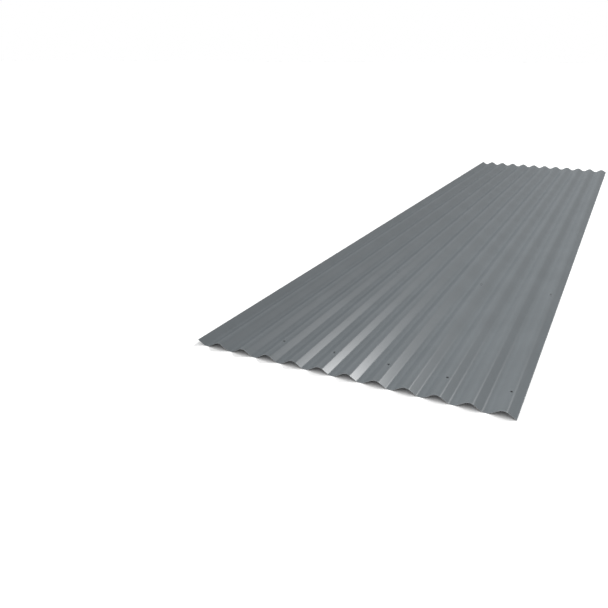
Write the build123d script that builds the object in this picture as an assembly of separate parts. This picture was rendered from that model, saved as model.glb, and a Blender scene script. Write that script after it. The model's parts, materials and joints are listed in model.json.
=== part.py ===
from build123d import *
from math import cos, radians, sin, tan
import os

# Corrugated steel roofing sheet: one roll-formed piece whose round waves run its whole length.
# One side edge is turned up and the other down, so that neighbouring sheets lap, and fixing holes
# are drilled through some of the crests.
# Millimetres. X runs across the waves, Y along them and Z up. The origin is on the ground under
# the middle of the sheet, which lies on the undersides of its troughs.

# Wave section
pitch = 76.2  # crest to crest
depth = 16.0  # underside of a trough to the top of a crest
sheet_thickness = 0.5  # steel with its coatings
web_angle = 30.7  # slope of the flat web between a crest bend and a trough bend, degrees
crest_count = 11  # whole crests across the sheet

# Side edges and length
upturned_lip_turn = 6.4  # how far the left edge goes round its crest past the last web, degrees
downturned_lip_turn = 10.2  # how far the right edge goes round its trough past the last web, degrees
sheet_length = 3660.0

# Fixing holes, drilled down through the crests in rows across the sheet
hole_diameter = 6.0
front_row_setback = 98.0  # front end to the first row
row_spacing = 727.0  # one row to the next
row_crests = ((3, 5, 7, 9, 11), (4, 8, 11))  # each row's crests, counted from the upturned edge

# Bend radius at mid-thickness, from the run and rise between neighbouring bends
half_pitch = pitch / 2
mid_depth = depth - sheet_thickness
web_slope = radians(web_angle)
bend_radius = (half_pitch * tan(web_slope) - mid_depth) / (2 * (1 / cos(web_slope) - 1))

# Bends are numbered across the sheet: 0 is the upturned edge's crest, and odd ones are troughs
last_bend = 2 * crest_count + 1

# The side edges lie on the first and the last bend, and the sheet is centred between them
upturned_edge_angle = web_slope - radians(upturned_lip_turn)
downturned_edge_angle = web_slope - radians(downturned_lip_turn)
inner_radius = bend_radius - sheet_thickness / 2
left_edge = inner_radius * sin(upturned_edge_angle)
right_edge = last_bend * half_pitch - inner_radius * sin(downturned_edge_angle)
sheet_middle = (left_edge + right_edge) / 2
front_end = -sheet_length / 2


def bend_x(bend):
    """X of the top line of a crest, or of the bottom line of a trough."""
    return bend * half_pitch - sheet_middle


def bend_point(bend, angle, side):
    """X and Z on one face of a bend, at an angle from its apex. side is 1 on top, -1 underneath."""
    up = 1 if bend % 2 == 0 else -1
    centre_z = depth / 2 + up * (mid_depth / 2 - bend_radius)
    face_radius = bend_radius + up * side * sheet_thickness / 2
    return bend_x(bend) + face_radius * sin(angle), centre_z + up * face_radius * cos(angle)


def bend_arc(bend, side):
    """One face of a bend. The arcs at the two side edges are cut off short of the apex."""
    start = upturned_edge_angle if bend == 0 else -web_slope
    end = -downturned_edge_angle if bend == last_bend else web_slope
    angles = (start, (start + end) / 2, end)
    return ThreePointArc(*(bend_point(bend, angle, side) for angle in angles))


def wave_line(side):
    """One face of the whole section: bends in turn, joined by straight webs."""
    arcs = [bend_arc(bend, side) for bend in range(last_bend + 1)]
    webs = [Line(arc @ 1, next_arc @ 0) for arc, next_arc in zip(arcs, arcs[1:])]
    return arcs + webs


def sheet_section():
    """The closed section of the sheet, across its waves."""
    top = wave_line(1)
    underside = wave_line(-1)
    left_end = Line(bend_arc(0, -1) @ 0, bend_arc(0, 1) @ 0)
    right_end = Line(bend_arc(last_bend, 1) @ 1, bend_arc(last_bend, -1) @ 1)
    return Plane.XZ * make_face(top + underside + [left_end, right_end])


def fixing_holes():
    """The drilled holes, one at each fixing."""
    drill = Cylinder(hole_diameter / 2, depth)
    holes = []
    for row, crests in enumerate(row_crests):
        row_y = front_end + front_row_setback + row * row_spacing
        holes += [Pos(bend_x(2 * crest), row_y, depth) * drill for crest in crests]
    return holes


sheet = extrude(sheet_section(), amount=sheet_length / 2, both=True) - fixing_holes()

os.makedirs("parts", exist_ok=True)
export_step(sheet, "parts/corrugated_sheet.step")

size = sheet.bounding_box().size
print(f"bend radius {bend_radius:.2f}, overall {size.X:.1f} x {size.Y:.1f} x {size.Z:.2f} mm")
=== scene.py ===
"""Looks of a corrugated steel roofing sheet that lies flat on a pale studio floor.

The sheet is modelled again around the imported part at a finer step, with a painted top, a thinner
backing coat underneath and bare metal on every cut edge. Metres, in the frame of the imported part:
X runs across the waves, Y along them and Z up.
"""

import json
import logging
from dataclasses import dataclass, field
from enum import Enum
from math import cos, radians, sin, tan
from typing import Any

import bpy
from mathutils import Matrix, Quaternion, Vector


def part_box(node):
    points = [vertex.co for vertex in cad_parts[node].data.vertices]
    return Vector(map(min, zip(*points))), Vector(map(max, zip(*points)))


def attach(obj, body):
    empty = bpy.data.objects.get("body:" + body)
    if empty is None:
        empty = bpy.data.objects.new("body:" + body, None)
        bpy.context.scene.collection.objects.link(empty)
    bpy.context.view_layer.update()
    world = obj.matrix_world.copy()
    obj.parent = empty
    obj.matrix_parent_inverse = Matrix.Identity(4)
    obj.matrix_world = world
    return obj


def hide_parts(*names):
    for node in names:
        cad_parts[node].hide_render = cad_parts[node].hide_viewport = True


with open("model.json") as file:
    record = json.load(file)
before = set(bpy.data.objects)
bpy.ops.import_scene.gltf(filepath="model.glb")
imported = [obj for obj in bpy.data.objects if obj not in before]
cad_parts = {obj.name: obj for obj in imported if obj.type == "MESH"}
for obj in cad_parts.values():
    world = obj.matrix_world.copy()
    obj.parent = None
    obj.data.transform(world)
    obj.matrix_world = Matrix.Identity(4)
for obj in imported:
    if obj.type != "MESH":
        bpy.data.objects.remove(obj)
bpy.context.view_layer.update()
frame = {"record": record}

log = logging.getLogger("corrugated_sheet")

Colour = tuple[float, float, float]
Triple = tuple[float, float, float]
Span = tuple[float, float]
Socket = bpy.types.NodeSocket
Outputs = bpy.types.NodeOutputs

SHEET_NODE = "corrugated_sheet"
SHEET_BODY = "root"
MILLIMETRE = 0.001
# Points that are nearer than this are one point.
SAME_PLACE = 0.01 * MILLIMETRE
# Digits of a metre that tell one row of holes from another.
ROW_DIGITS = 6
# Socket types of the shader groups.
NUMBER = "NodeSocketFloat"
VECTOR = "NodeSocketVector"
# The middle of a noise pattern, and the part of its range where most of it lies.
NOISE_MIDDLE = 0.5
NOISE_SPAN: Span = (0.3, 0.7)
FULL_SPAN: Span = (0.0, 1.0)
WHITE = (1.0, 1.0, 1.0, 1.0)


class Bend(Enum):
    """The two kinds of bend in the wave, with the way each one turns the strip from left to right."""

    CREST = -1
    TROUGH = 1


class Web(Enum):
    """The two kinds of flat between the bends, with the way each one goes from left to right."""

    RISING = 1
    FALLING = -1


class Side(Enum):
    """The two side edges of the strip."""

    LEFT = "left"
    RIGHT = "right"


class Face(Enum):
    """The sides of the sheet, with the number of the material slot that each one uses."""

    TOP = 0
    UNDERSIDE = 1
    CUT_EDGE = 2


@dataclass(frozen=True)
class Noise:
    """A noise pattern.

    Attributes:
        scale: Features in each metre.
        detail: Number of finer layers.
        stretch: Scale of the coordinates along each axis before the noise reads them.
        roughness: Strength of each finer layer, as a share of the one before.
    """

    scale: float
    detail: float
    stretch: Triple = (1.0, 1.0, 1.0)
    roughness: float = 0.55


class NodeBoard:
    """A shader node tree, with short calls that add nodes and link them."""

    def __init__(self, tree: bpy.types.NodeTree) -> None:
        """Keeps the tree that the calls work on.

        Args:
            tree: The node tree of a material, a world or a node group.
        """
        self.tree = tree

    @property
    def shader(self) -> bpy.types.Node:
        """The Principled shader that a new material starts with."""
        return self.tree.nodes["Principled BSDF"]

    def add(self, kind: str, inputs: dict[str | int, Any] | None = None, **settings: Any) -> bpy.types.Node:
        """Adds one node.

        Args:
            kind: Blender's type name of the node.
            inputs: Values or output sockets for its inputs, by name or number.
            **settings: Properties to set on the node.

        Returns:
            The new node.
        """
        node = self.tree.nodes.new(kind)
        for name, value in settings.items():
            setattr(node, name, value)
        self.fill(node, inputs or {})
        return node

    def fill(self, node: bpy.types.Node, inputs: dict[str | int, Any]) -> None:
        """Feeds several inputs of a node.

        Args:
            node: The node.
            inputs: Values or output sockets for its inputs, by name or number.
        """
        for name, value in inputs.items():
            self.feed(node.inputs[name], value)

    def feed(self, socket: Socket, value: Any) -> None:
        """Links an output to an input, or sets the input to a plain value.

        Args:
            socket: The input socket.
            value: An output socket, a number or a tuple.
        """
        if isinstance(value, Socket):
            self.tree.links.new(value, socket)
        else:
            socket.default_value = value

    def math(self, operation: str, first: Any, second: Any = 0.0, clamp: bool = False) -> Socket:
        """Adds a Math node.

        Args:
            operation: Blender's name of the operation.
            first: First number or output socket.
            second: Second number or output socket.
            clamp: Whether the result is kept between 0 and 1.

        Returns:
            The node's output.
        """
        node = self.add("ShaderNodeMath", {0: first, 1: second}, operation=operation, use_clamp=clamp)
        return node.outputs[0]

    def ramp(self, value: Socket, read: Span, give: Span) -> Socket:
        """Adds a smooth Map Range node.

        Args:
            value: The output socket to map.
            read: Start and end of the range read.
            give: Results at that start and end.

        Returns:
            The node's output.
        """
        ends = {
            "Value": value,
            "From Min": read[0],
            "From Max": read[1],
            "To Min": give[0],
            "To Max": give[1],
        }
        node = self.add("ShaderNodeMapRange", ends, interpolation_type="SMOOTHSTEP")
        return node.outputs["Result"]

    def noise(self, place: Socket, pattern: Noise) -> Socket:
        """Adds a noise texture.

        Args:
            place: The output socket with the coordinates.
            pattern: The pattern of the noise.

        Returns:
            The noise value, about 0.5 on average.
        """
        moved = self.add("ShaderNodeMapping", {"Vector": place, "Scale": pattern.stretch})
        texture = {
            "Vector": moved.outputs[0],
            "Scale": pattern.scale,
            "Detail": pattern.detail,
            "Roughness": pattern.roughness,
        }
        return self.add("ShaderNodeTexNoise", texture).outputs[0]

    def bump(self, height: Socket, depth: float, strength: float = 1.0) -> Socket:
        """Adds a Bump node.

        Args:
            height: The output socket with the height, from 0 to 1.
            depth: Real size of that height.
            strength: Share of the bump that shows.

        Returns:
            The bumped normal.
        """
        relief = {"Height": height, "Distance": depth, "Strength": strength}
        return self.add("ShaderNodeBump", relief).outputs[0]

    def mix(self, share: Socket, first: Any, second: Any) -> Socket:
        """Adds a colour Mix node.

        Args:
            share: Output socket with the share of the second colour.
            first: First colour or output socket.
            second: Second colour or output socket.

        Returns:
            The mixed colour.
        """
        node = self.add("ShaderNodeMix", data_type="RGBA")
        for name, value in (("Factor_Float", share), ("A_Color", first), ("B_Color", second)):
            socket = next(s for s in node.inputs if s.identifier == name)
            plain = isinstance(value, tuple)
            self.feed(socket, (*value, 1.0) if plain else value)
        return next(s for s in node.outputs if s.identifier == "Result_Color")

    def seen(self) -> Socket:
        """Adds a Light Path test.

        Returns:
            1 for what the camera sees, straight, mirrored or through glass, and 0 for the rest of the light.
        """
        path = self.add("ShaderNodeLightPath").outputs
        seen = self.math("MAXIMUM", path["Is Camera Ray"], path["Is Glossy Ray"])
        return self.math("MAXIMUM", seen, path["Is Transmission Ray"])


class SurfaceEffect:
    """A shader group that is made once, and placed in each material with that material's own values.

    Attributes:
        name: Name of the node group.
        inputs: Names and socket types of its inputs.
        outputs: Names of its outputs, which are all numbers.
    """

    name: str
    inputs: dict[str, str]
    outputs: tuple[str, ...]

    @classmethod
    def group(cls) -> bpy.types.NodeTree:
        """Makes the group the first time, and finds it again after that.

        Returns:
            The node group, with its named inputs and outputs.
        """
        made = bpy.data.node_groups.get(cls.name)
        if made:
            return made
        tree = bpy.data.node_groups.new(cls.name, "ShaderNodeTree")
        for label, kind in cls.inputs.items():
            tree.interface.new_socket(label, in_out="INPUT", socket_type=kind)
        for label in cls.outputs:
            tree.interface.new_socket(label, in_out="OUTPUT", socket_type=NUMBER)
        board = NodeBoard(tree)
        given = board.add("NodeGroupInput").outputs
        board.add("NodeGroupOutput", cls.wire(board, given))
        return tree

    @classmethod
    def wire(cls, board: NodeBoard, given: Outputs) -> dict[str, Socket]:
        """Adds the nodes inside the group, which each effect does in its own way.

        Args:
            board: The group's node tree.
            given: The group's inputs, as the nodes inside it read them.

        Returns:
            What each of the group's outputs gives.
        """
        raise NotImplementedError

    @classmethod
    def place_in(cls, board: NodeBoard, values: dict[str, Any]) -> Outputs:
        """Places the group in a material.

        Args:
            board: The material's node tree.
            values: Values or output sockets for the group's inputs.

        Returns:
            The outputs of the placed group.
        """
        return board.add("ShaderNodeGroup", values, node_tree=cls.group()).outputs


class CoatTexture(SurfaceEffect):
    """The marks of a roll-coated paint: cloudy tone, faint lengthwise streaks and grain."""

    name = "roll_coat_texture"
    inputs = {"Place": VECTOR, "Streaks": NUMBER}
    outputs = ("Tone", "Gloss", "Height")
    clouds = Noise(scale=6.0, detail=3.0)
    streaks = Noise(scale=90.0, detail=2.0, stretch=(1.0, 0.01, 0.4))
    grain = Noise(scale=700.0, detail=2.0)
    grain_gloss: Span = (0.2, 0.8)

    @classmethod
    def wire(cls, board: NodeBoard, given: Outputs) -> dict[str, Socket]:
        """Adds the nodes inside the group.

        Args:
            board: The group's node tree.
            given: The coordinates and the strength of the streaks.

        Returns:
            The tone between dark and light paint, the share of gloss and the height of the grain.
        """
        place = given["Place"]
        clouds = board.ramp(board.noise(place, cls.clouds), NOISE_SPAN, FULL_SPAN)
        streaks = board.math("SUBTRACT", board.noise(place, cls.streaks), NOISE_MIDDLE)
        lines = board.math("MULTIPLY", streaks, given["Streaks"])
        grain = board.noise(place, cls.grain)
        gloss = board.ramp(grain, NOISE_SPAN, cls.grain_gloss)
        return {
            "Tone": board.math("ADD", clouds, lines, clamp=True),
            "Gloss": board.math("ADD", gloss, lines, clamp=True),
            "Height": grain,
        }


class EdgeWear(SurfaceEffect):
    """The narrow band at the sheet's ends and sides where the shears chip the paint."""

    name = "sheared_edge_wear"
    inputs = {"Place": VECTOR, "Half Width": NUMBER, "Half Length": NUMBER, "Reach": NUMBER}
    outputs = ("Bare",)
    chips = Noise(scale=900.0, detail=3.0)
    chip_span: Span = (0.35, 0.75)

    @classmethod
    def wire(cls, board: NodeBoard, given: Outputs) -> dict[str, Socket]:
        """Adds the nodes inside the group.

        Args:
            board: The group's node tree.
            given: The coordinates, half the sheet's width and length, and the widest chip.

        Returns:
            1 where the paint is chipped off, and 0 elsewhere.
        """
        place = given["Place"]
        axes = board.add("ShaderNodeSeparateXYZ", {0: place}).outputs
        from_side = board.math("SUBTRACT", given["Half Width"], board.math("ABSOLUTE", axes["X"]))
        from_end = board.math("SUBTRACT", given["Half Length"], board.math("ABSOLUTE", axes["Y"]))
        nearest = board.math("MINIMUM", from_side, from_end)
        ragged = board.ramp(board.noise(place, cls.chips), cls.chip_span, FULL_SPAN)
        reach = board.math("MULTIPLY", given["Reach"], ragged)
        return {"Bare": board.math("LESS_THAN", nearest, reach)}


def new_material(name: str) -> tuple[bpy.types.Material, NodeBoard]:
    """Makes a material that holds one Principled shader.

    Args:
        name: Name of the material.

    Returns:
        The new material and its node tree.
    """
    made = bpy.data.materials.new(name)
    made.use_nodes = True
    return made, NodeBoard(made.node_tree)


@dataclass(frozen=True)
class CoatFinish:
    """A rolled-on paint coat over zinc-coated steel.

    Attributes:
        name: Name of the material.
        dark: Deeper tone of the paint, linear.
        light: Paler tone of the paint, linear.
        roughness: Smallest and largest roughness of the pigmented paint.
        specular: Specular level of the pigmented paint.
        streaks: Strength of the lengthwise streaks.
        gloss: Smallest and largest weight of the smooth skin on the paint.
        gloss_roughness: Roughness of that skin.
        gloss_ior: Refractive index of that skin.
        grain_depth: Height of the paint's grain.
        chip_reach: Widest chip at a cut edge.
        zinc: Colour of the metal in a chip, linear.
    """

    name: str
    dark: Colour
    light: Colour
    roughness: Span
    specular: float
    streaks: float
    gloss: Span
    gloss_roughness: float
    gloss_ior: float = 1.7
    grain_depth: float = 0.02 * MILLIMETRE
    chip_reach: float = 0.5 * MILLIMETRE
    zinc: Colour = (0.33, 0.34, 0.35)

    def material(self, half_width: float, half_length: float) -> bpy.types.Material:
        """Makes the material.

        Args:
            half_width: Half the sheet's width.
            half_length: Half the sheet's length.

        Returns:
            The new material.
        """
        made, board = new_material(self.name)
        place = board.add("ShaderNodeTexCoord").outputs["Object"]
        texture = CoatTexture.place_in(board, {"Place": place, "Streaks": self.streaks})
        edges = {
            "Place": place,
            "Half Width": half_width,
            "Half Length": half_length,
            "Reach": self.chip_reach,
        }
        bare = EdgeWear.place_in(board, edges)["Bare"]
        paint = board.mix(texture["Tone"], self.dark, self.light)
        looks = {
            "Base Color": board.mix(bare, paint, self.zinc),
            "Metallic": bare,
            "Roughness": board.ramp(texture["Gloss"], FULL_SPAN, self.roughness),
            "Normal": board.bump(texture["Height"], self.grain_depth),
            "Coat Weight": board.ramp(texture["Gloss"], FULL_SPAN, self.gloss),
            "Coat Roughness": self.gloss_roughness,
            "Coat IOR": self.gloss_ior,
            "Specular IOR Level": self.specular,
        }
        board.fill(board.shader, looks)
        return made


@dataclass(frozen=True)
class CutSteelFinish:
    """Bare metal on a sheared or drilled edge.

    Attributes:
        name: Name of the material.
        dark: Deeper tone of the metal, linear.
        light: Paler tone of the metal, linear.
        roughness: Smallest and largest roughness.
        blotches: Pattern of the two tones.
        scores: Pattern of the marks that the shears leave.
        score_depth: Depth of those marks.
        score_strength: Share of that depth that shows.
    """

    name: str
    dark: Colour
    light: Colour
    roughness: Span
    blotches: Noise = Noise(scale=120.0, detail=3.0)
    scores: Noise = Noise(scale=2500.0, detail=2.0, stretch=(1.0, 1.0, 0.15))
    score_depth: float = 0.03 * MILLIMETRE
    score_strength: float = 0.6

    def material(self) -> bpy.types.Material:
        """Makes the material.

        Returns:
            The new material.
        """
        made, board = new_material(self.name)
        place = board.add("ShaderNodeTexCoord").outputs["Object"]
        blotches = board.ramp(board.noise(place, self.blotches), NOISE_SPAN, FULL_SPAN)
        scores = board.noise(place, self.scores)
        looks = {
            "Base Color": board.mix(blotches, self.dark, self.light),
            "Roughness": board.ramp(scores, NOISE_SPAN, self.roughness),
            "Normal": board.bump(scores, self.score_depth, self.score_strength),
            "Metallic": 1.0,
        }
        board.fill(board.shader, looks)
        return made


TOP_COAT = CoatFinish(
    name="grey_top_coat",
    dark=(0.166, 0.184, 0.195),
    light=(0.177, 0.196, 0.208),
    roughness=(0.55, 0.65),
    specular=0.0,
    streaks=0.25,
    gloss=(0.145, 0.167),
    gloss_roughness=0.225,
)
BACKING_COAT = CoatFinish(
    name="pale_backing_coat",
    dark=(0.30, 0.30, 0.285),
    light=(0.37, 0.37, 0.35),
    roughness=(0.55, 0.7),
    specular=0.3,
    streaks=0.6,
    gloss=(0.0, 0.03),
    gloss_roughness=0.4,
)
CUT_STEEL = CutSteelFinish(
    name="cut_steel_edge",
    dark=(0.20, 0.19, 0.18),
    light=(0.32, 0.31, 0.29),
    roughness=(0.5, 0.7),
)


@dataclass
class CorrugatedSheet:
    """The sheet: round waves from edge to edge, one lip turned up and one turned down, and drilled crests.

    Attributes:
        low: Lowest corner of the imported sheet.
        high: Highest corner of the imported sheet.
        holes: Centres of the fixing holes on top of their crests.
        hole_radius: Radius of a fixing hole.
        pitch: Distance from crest to crest.
        thickness: Thickness of the sheet.
        web_angle: Slope of the flat between a crest and a trough, in degrees.
        crest_count: Number of whole crests.
        upturned_turn: How far the left edge goes round its crest past the last web, in degrees.
        downturned_turn: How far the right edge goes round its trough past the last web, in degrees.
        bend_steps: Steps in the arc of a whole bend.
        hole_steps: Corners of a fixing hole.
        hole_margin: Distance from a row of holes to the cut on each side of it, in hole radii.
        hole_wall_rise: Largest upward share of the normal of a hole's wall.
        smooth_angle: Widest turn between neighbouring faces that is shaded smooth, in degrees.
        piece: The finished mesh.
    """

    low: Vector
    high: Vector
    holes: list[Vector]
    hole_radius: float
    pitch: float = 76.2 * MILLIMETRE
    thickness: float = 0.5 * MILLIMETRE
    web_angle: float = 30.7
    crest_count: int = 11
    upturned_turn: float = 6.4
    downturned_turn: float = 10.2
    bend_steps: int = 16
    hole_steps: int = 48
    hole_margin: float = 2.0
    hole_wall_rise: float = 0.5
    smooth_angle: float = 30.0
    piece: bpy.types.Object = field(init=False)

    @classmethod
    def from_frame(cls) -> "CorrugatedSheet":
        """Reads the sheet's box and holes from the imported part.

        Returns:
            The sheet, ready to build.
        """
        patterns = [mount for mount in frame["record"]["mounts"] if mount["kind"] == "bolt_pattern"]
        holes = []
        for pattern in patterns:
            sizes = pattern["dims"]
            step = Vector((sizes.get("spacing_x_mm", 0.0), sizes.get("spacing_y_mm", 0.0), 0.0)) * MILLIMETRE
            middle = Vector(pattern["pos_m"])
            holes += [middle - step / 2, middle + step / 2]
        hole_radius = patterns[0]["dims"]["hole_r_mm"] * MILLIMETRE
        low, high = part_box(SHEET_NODE)
        return cls(low, high, holes, hole_radius)

    @property
    def slope(self) -> float:
        """Slope of a web, in radians."""
        return radians(self.web_angle)

    @property
    def length(self) -> float:
        """Length of the sheet along its waves."""
        return self.high.y - self.low.y

    @property
    def bend_radius(self) -> float:
        """Radius of every bend at mid-thickness, from the run and rise between neighbouring bends."""
        rise = self.high.z - self.low.z - self.thickness
        return (self.pitch / 2 * tan(self.slope) - rise) / (2 * (1 / cos(self.slope) - 1))

    @property
    def web_run(self) -> float:
        """Distance that a web covers along X."""
        return self.pitch / 2 - 2 * self.bend_radius * sin(self.slope)

    @property
    def left_apex(self) -> float:
        """X of the top line of the crest that the left edge stops short of."""
        inner_radius = self.bend_radius - self.thickness / 2
        return self.low.x - inner_radius * sin(self.slope - radians(self.upturned_turn))

    def bend_centre(self, number: int) -> Vector:
        """Finds the axis of a bend.

        Args:
            number: Place of the bend across the sheet, with 0 for the crest of the left lip.

        Returns:
            A point on the axis, at mid-length.
        """
        drop = self.thickness / 2 + self.bend_radius
        height = self.high.z - drop if number % 2 == 0 else self.low.z + drop
        return Vector((self.left_apex + number * self.pitch / 2, (self.low.y + self.high.y) / 2, height))

    def build(self) -> None:
        """Models the sheet from its first web to its drilled holes."""
        self._first_web()
        self._first_wave()
        self._repeat_wave()
        self._side_lips()
        self._cut_beside_holes()
        self._face_up()
        self._thicken()
        self._drill()
        self._smooth()

    def dress(self) -> None:
        """Gives each side of the sheet its finish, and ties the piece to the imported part."""
        half = (self.high - self.low) / 2
        finishes = {
            Face.TOP: TOP_COAT.material(half.x, half.y),
            Face.UNDERSIDE: BACKING_COAT.material(half.x, half.y),
            Face.CUT_EDGE: CUT_STEEL.material(),
        }
        for face in Face:
            self.piece.data.materials.append(finishes[face])
        for polygon in self.piece.data.polygons:
            near = min((polygon.center.xy - hole.xy).length for hole in self.holes)
            if near < self.hole_radius and abs(polygon.normal.z) < self.hole_wall_rise:
                polygon.material_index = Face.CUT_EDGE.value
        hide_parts(SHEET_NODE)
        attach(self.piece, SHEET_BODY)

    def _first_web(self) -> None:
        """Adds the flat that falls from the left lip to the first trough."""
        bpy.ops.object.select_all(action="DESELECT")
        middle = (self.bend_centre(0) + self.bend_centre(1)) / 2
        bpy.ops.mesh.primitive_plane_add(size=1.0, location=middle, rotation=(0.0, self.slope, 0.0))
        self.piece = bpy.context.object
        self.piece.name = "painted_corrugated_sheet"
        self.piece.data.name = self.piece.name
        self.piece.scale = (self.web_run / cos(self.slope), self.length, 1.0)
        bpy.ops.object.transform_apply(location=True, rotation=True, scale=True)

    def _first_wave(self) -> None:
        """Goes on from the first web through a trough, a rising web and a crest."""
        self._edit_edge(Side.RIGHT)
        self._turn(1, Bend.TROUGH, 2 * self.slope)
        self._run_web(Web.RISING)
        self._turn(2, Bend.CREST, 2 * self.slope)
        bpy.ops.object.mode_set(mode="OBJECT")

    def _repeat_wave(self) -> None:
        """Repeats the first wave across the sheet."""
        array = self.piece.modifiers.new("waves", "ARRAY")
        array.count = self.crest_count
        array.use_relative_offset = False
        array.use_constant_offset = True
        array.constant_offset_displace = (self.pitch, 0.0, 0.0)
        array.use_merge_vertices = True
        array.merge_threshold = SAME_PLACE
        bpy.ops.object.modifier_apply(modifier=array.name)

    def _side_lips(self) -> None:
        """Turns the left edge up and adds the last web with the right edge turned down."""
        self._edit_edge(Side.LEFT)
        # Spun from right to left, a crest turns the way that a trough does from left to right.
        self._turn(0, Bend.TROUGH, radians(self.upturned_turn))
        bpy.ops.object.mode_set(mode="OBJECT")
        self._edit_edge(Side.RIGHT)
        self._run_web(Web.FALLING)
        self._turn(2 * self.crest_count + 1, Bend.TROUGH, radians(self.downturned_turn))
        bpy.ops.object.mode_set(mode="OBJECT")

    def _cut_beside_holes(self) -> None:
        """Cuts the strip across on both sides of each row of holes, so that the faces there are short."""
        bpy.ops.object.mode_set(mode="EDIT")
        margin = self.hole_margin * self.hole_radius
        for row in sorted({round(hole.y, ROW_DIGITS) for hole in self.holes}):
            for cut in (row - margin, row + margin):
                bpy.ops.mesh.select_all(action="SELECT")
                bpy.ops.mesh.bisect(plane_co=(0.0, cut, 0.0), plane_no=(0.0, 1.0, 0.0))
        bpy.ops.object.mode_set(mode="OBJECT")

    def _face_up(self) -> None:
        """Merges the strip's doubles and turns all its faces upwards."""
        bpy.ops.object.mode_set(mode="EDIT")
        bpy.ops.mesh.select_all(action="SELECT")
        bpy.ops.mesh.remove_doubles(threshold=SAME_PLACE)
        bpy.ops.mesh.normals_make_consistent(inside=False)
        bpy.ops.object.mode_set(mode="OBJECT")
        if sum(polygon.normal.z for polygon in self.piece.data.polygons) < 0:
            bpy.ops.object.mode_set(mode="EDIT")
            bpy.ops.mesh.flip_normals()
            bpy.ops.object.mode_set(mode="OBJECT")

    def _thicken(self) -> None:
        """Gives the strip its thickness, with the slots of the underside and the cut edges."""
        wall = self.piece.modifiers.new("thickness", "SOLIDIFY")
        wall.thickness = self.thickness
        wall.offset = 0.0
        wall.use_even_offset = True
        wall.material_offset = Face.UNDERSIDE.value
        wall.material_offset_rim = Face.CUT_EDGE.value
        bpy.ops.object.modifier_apply(modifier=wall.name)

    def _drill(self) -> None:
        """Drills the fixing holes with one cutter made of round bars."""
        bpy.ops.object.select_all(action="DESELECT")
        bars = []
        for hole in self.holes:
            bpy.ops.mesh.primitive_cylinder_add(
                vertices=self.hole_steps,
                radius=self.hole_radius,
                depth=self.high.z - self.low.z,
                location=hole,
            )
            bars.append(bpy.context.object)
        for bar in bars:
            bar.select_set(True)
        bpy.ops.object.join()
        cutter = bpy.context.object
        bpy.ops.object.select_all(action="DESELECT")
        self.piece.select_set(True)
        bpy.context.view_layer.objects.active = self.piece
        drill = self.piece.modifiers.new("fixing_holes", "BOOLEAN")
        drill.operation = "DIFFERENCE"
        drill.solver = "EXACT"
        drill.object = cutter
        bpy.ops.object.modifier_apply(modifier=drill.name)
        bpy.data.objects.remove(cutter)

    def _smooth(self) -> None:
        """Shades the bends smooth and keeps the webs flat and the cut edges sharp."""
        bpy.ops.object.shade_smooth_by_angle(angle=radians(self.smooth_angle))
        flat = self.piece.modifiers.new("flat_webs", "WEIGHTED_NORMAL")
        flat.keep_sharp = True
        bpy.ops.object.modifier_apply(modifier=flat.name)

    def _edit_edge(self, side: Side) -> None:
        """Enters edit mode with one side edge of the strip selected.

        Args:
            side: Which edge.
        """
        mesh = self.piece.data
        outermost = min if side is Side.LEFT else max
        edge = outermost(vertex.co.x for vertex in mesh.vertices)
        bpy.ops.object.mode_set(mode="EDIT")
        bpy.ops.mesh.select_mode(type="VERT")
        bpy.ops.mesh.select_all(action="DESELECT")
        bpy.ops.object.mode_set(mode="OBJECT")
        for vertex in mesh.vertices:
            vertex.select = abs(vertex.co.x - edge) < SAME_PLACE
        bpy.ops.object.mode_set(mode="EDIT")

    def _turn(self, number: int, bend: Bend, angle: float) -> None:
        """Spins the selected edge round the axis of a bend.

        Args:
            number: Place of the bend across the sheet.
            bend: Which way the strip turns.
            angle: How far it turns, in radians.
        """
        steps = max(1, round(self.bend_steps * angle / (2 * self.slope)))
        axis = (0.0, float(bend.value), 0.0)
        bpy.ops.mesh.spin(steps=steps, angle=angle, center=self.bend_centre(number), axis=axis)

    def _run_web(self, web: Web) -> None:
        """Extrudes the selected edge along the next web.

        Args:
            web: Which way the web goes.
        """
        run = (self.web_run, 0.0, web.value * self.web_run * tan(self.slope))
        bpy.ops.mesh.extrude_region_move(TRANSFORM_OT_translate={"value": run})


@dataclass(frozen=True)
class DistantLamp:
    """A studio lamp so far away that its light falls the same way everywhere.

    Attributes:
        name: Name of the lamp.
        way: Direction from the sheet to the lamp.
        strength: Strength of its light.
        spread: Its apparent size, in degrees.
    """

    name: str
    way: Triple
    strength: float
    spread: float

    def hang(self) -> None:
        """Adds the lamp to the scene."""
        bpy.ops.object.light_add(type="SUN")
        lamp = bpy.context.object
        lamp.name = self.name
        lamp.rotation_mode = "QUATERNION"
        lamp.rotation_quaternion = Vector(self.way).to_track_quat("Z", "Y")
        lamp.data.energy = self.strength
        lamp.data.angle = radians(self.spread)


@dataclass(frozen=True)
class StripLamp:
    """A long soft lamp that hangs over the sheet along its waves, and leaves no reflection in the paint.

    Attributes:
        name: Name of the lamp.
        place: Middle of the lamp.
        length: Its length along the waves.
        width: Its width across them.
        power: Strength of its light.
    """

    name: str
    place: Triple
    length: float
    width: float
    power: float

    def hang(self) -> None:
        """Adds the lamp to the scene, facing down."""
        bpy.ops.object.light_add(type="AREA", location=self.place)
        lamp = bpy.context.object
        lamp.name = self.name
        lamp.data.shape = "RECTANGLE"
        lamp.data.size = self.width
        lamp.data.size_y = self.length
        lamp.data.energy = self.power
        lamp.visible_camera = False
        lamp.visible_glossy = False


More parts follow.
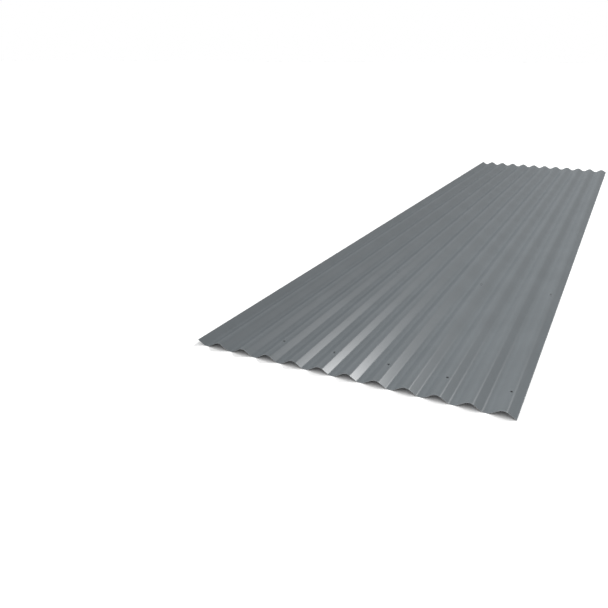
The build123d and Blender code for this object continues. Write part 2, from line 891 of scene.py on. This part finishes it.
@dataclass
class Studio:
    """The plain pale floor, the soft light and the camera.

    Attributes:
        image_size: Width and height of the picture, in pixels.
        focal_pixels: Focal length of the camera, in pixels.
        camera_place: Where the camera stands.
        azimuth: Heading of the camera, in degrees, with 0 along +Y.
        elevation: How far the camera looks down, in degrees.
        roll: How far the camera leans, in degrees.
        lamps: The key lamp, the softer fill lamp and the strip lamp overhead.
        sky_strength: Strength of the even light from all round.
        floor_colour: Colour of the floor, linear.
        floor_lift: What the floor lacks to full white in plain light.
        painted_shadow_reach: How near the sheet has to be to take that lift away, which paints a shadow on
            the floor round and under the sheet.
        floor_size: Side of the square floor.
    """

    image_size: int = 608
    focal_pixels: float = 620.7
    camera_place: Triple = (0.5484, -3.0952, 0.7404)
    azimuth: float = 27.09
    elevation: float = 21.5
    roll: float = 0.18
    lamps: tuple[DistantLamp | StripLamp, ...] = (
        DistantLamp("key_lamp", way=(0.2819, 0.7708, 0.5713), strength=1.5, spread=2.0),
        DistantLamp("fill_lamp", way=(-0.8261, 0.3, 0.477), strength=1.28, spread=20.0),
        StripLamp("strip_lamp", place=(0.3, 1.0, 0.65), length=10.0, width=0.4, power=14.5),
    )
    sky_strength: float = 0.25
    floor_colour: Colour = (0.97, 0.97, 0.97)
    floor_lift: float = 0.36
    painted_shadow_reach: float = 0.1
    floor_size: float = 400.0

    def build(self) -> None:
        """Makes the floor, the light and the camera."""
        self._floor()
        for lamp in self.lamps:
            lamp.hang()
        self._sky()
        self._camera()
        bpy.context.scene.view_settings.view_transform = "Standard"

    def _floor(self) -> None:
        """Lays the floor under the sheet, white to the eye but for the sheet's shadow from the lamps and a
        painted shadow where the floor's glow is taken away near the sheet.
        """
        bpy.ops.object.select_all(action="DESELECT")
        bpy.ops.mesh.primitive_plane_add(size=self.floor_size)
        floor = bpy.context.object
        floor.name = "studio_floor"
        made, board = new_material("pale_floor")
        # Painted shadow: near the sheet, the glow that whitens the floor is taken away, which darkens the
        # floor round and under the sheet and behind its holes.
        outside_painted_shadow = board.add("ShaderNodeAmbientOcclusion", {"Distance": self.painted_shadow_reach}).outputs["AO"]
        lift = board.math("MULTIPLY", outside_painted_shadow, self.floor_lift)
        looks = {
            "Base Color": (*self.floor_colour, 1.0),
            "Roughness": 1.0,
            "Specular IOR Level": 0.0,
            "Emission Color": WHITE,
            "Emission Strength": board.math("MULTIPLY", board.seen(), lift),
        }
        board.fill(board.shader, looks)
        floor.data.materials.append(made)

    def _sky(self) -> None:
        """Lights the sheet evenly from all round, with white behind it."""
        world = bpy.data.worlds.new("white_studio")
        bpy.context.scene.world = world
        world.use_nodes = True
        board = NodeBoard(world.node_tree)
        strength = board.ramp(board.seen(), FULL_SPAN, (self.sky_strength, 1.0))
        board.fill(world.node_tree.nodes["Background"], {"Color": WHITE, "Strength": strength})

    def _camera(self) -> None:
        """Sets the camera where the picture was taken from."""
        heading, tilt = radians(self.azimuth), radians(self.elevation)
        ahead = Vector((-sin(heading) * cos(tilt), cos(heading) * cos(tilt), -sin(tilt)))
        lean = Quaternion((0.0, 0.0, 1.0), radians(self.roll))
        bpy.ops.object.camera_add(location=self.camera_place)
        camera = bpy.context.object
        camera.name = "photo_camera"
        camera.rotation_mode = "QUATERNION"
        camera.rotation_quaternion = ahead.to_track_quat("-Z", "Y") @ lean
        camera.data.lens = camera.data.sensor_width * self.focal_pixels / self.image_size
        bpy.context.scene.camera = camera


def main() -> None:
    """Builds the sheet and the studio, and reports each piece."""
    logging.basicConfig(level=logging.INFO, format="%(message)s")
    sheet = CorrugatedSheet.from_frame()
    sheet.build()
    sheet.dress()
    log.info("%s: %d faces, %d holes", sheet.piece.name, len(sheet.piece.data.polygons), len(sheet.holes))
    studio = Studio()
    studio.build()
    log.info("studio: floor, %d lamps and camera", len(studio.lamps))


if __name__ == "__main__":
    main()
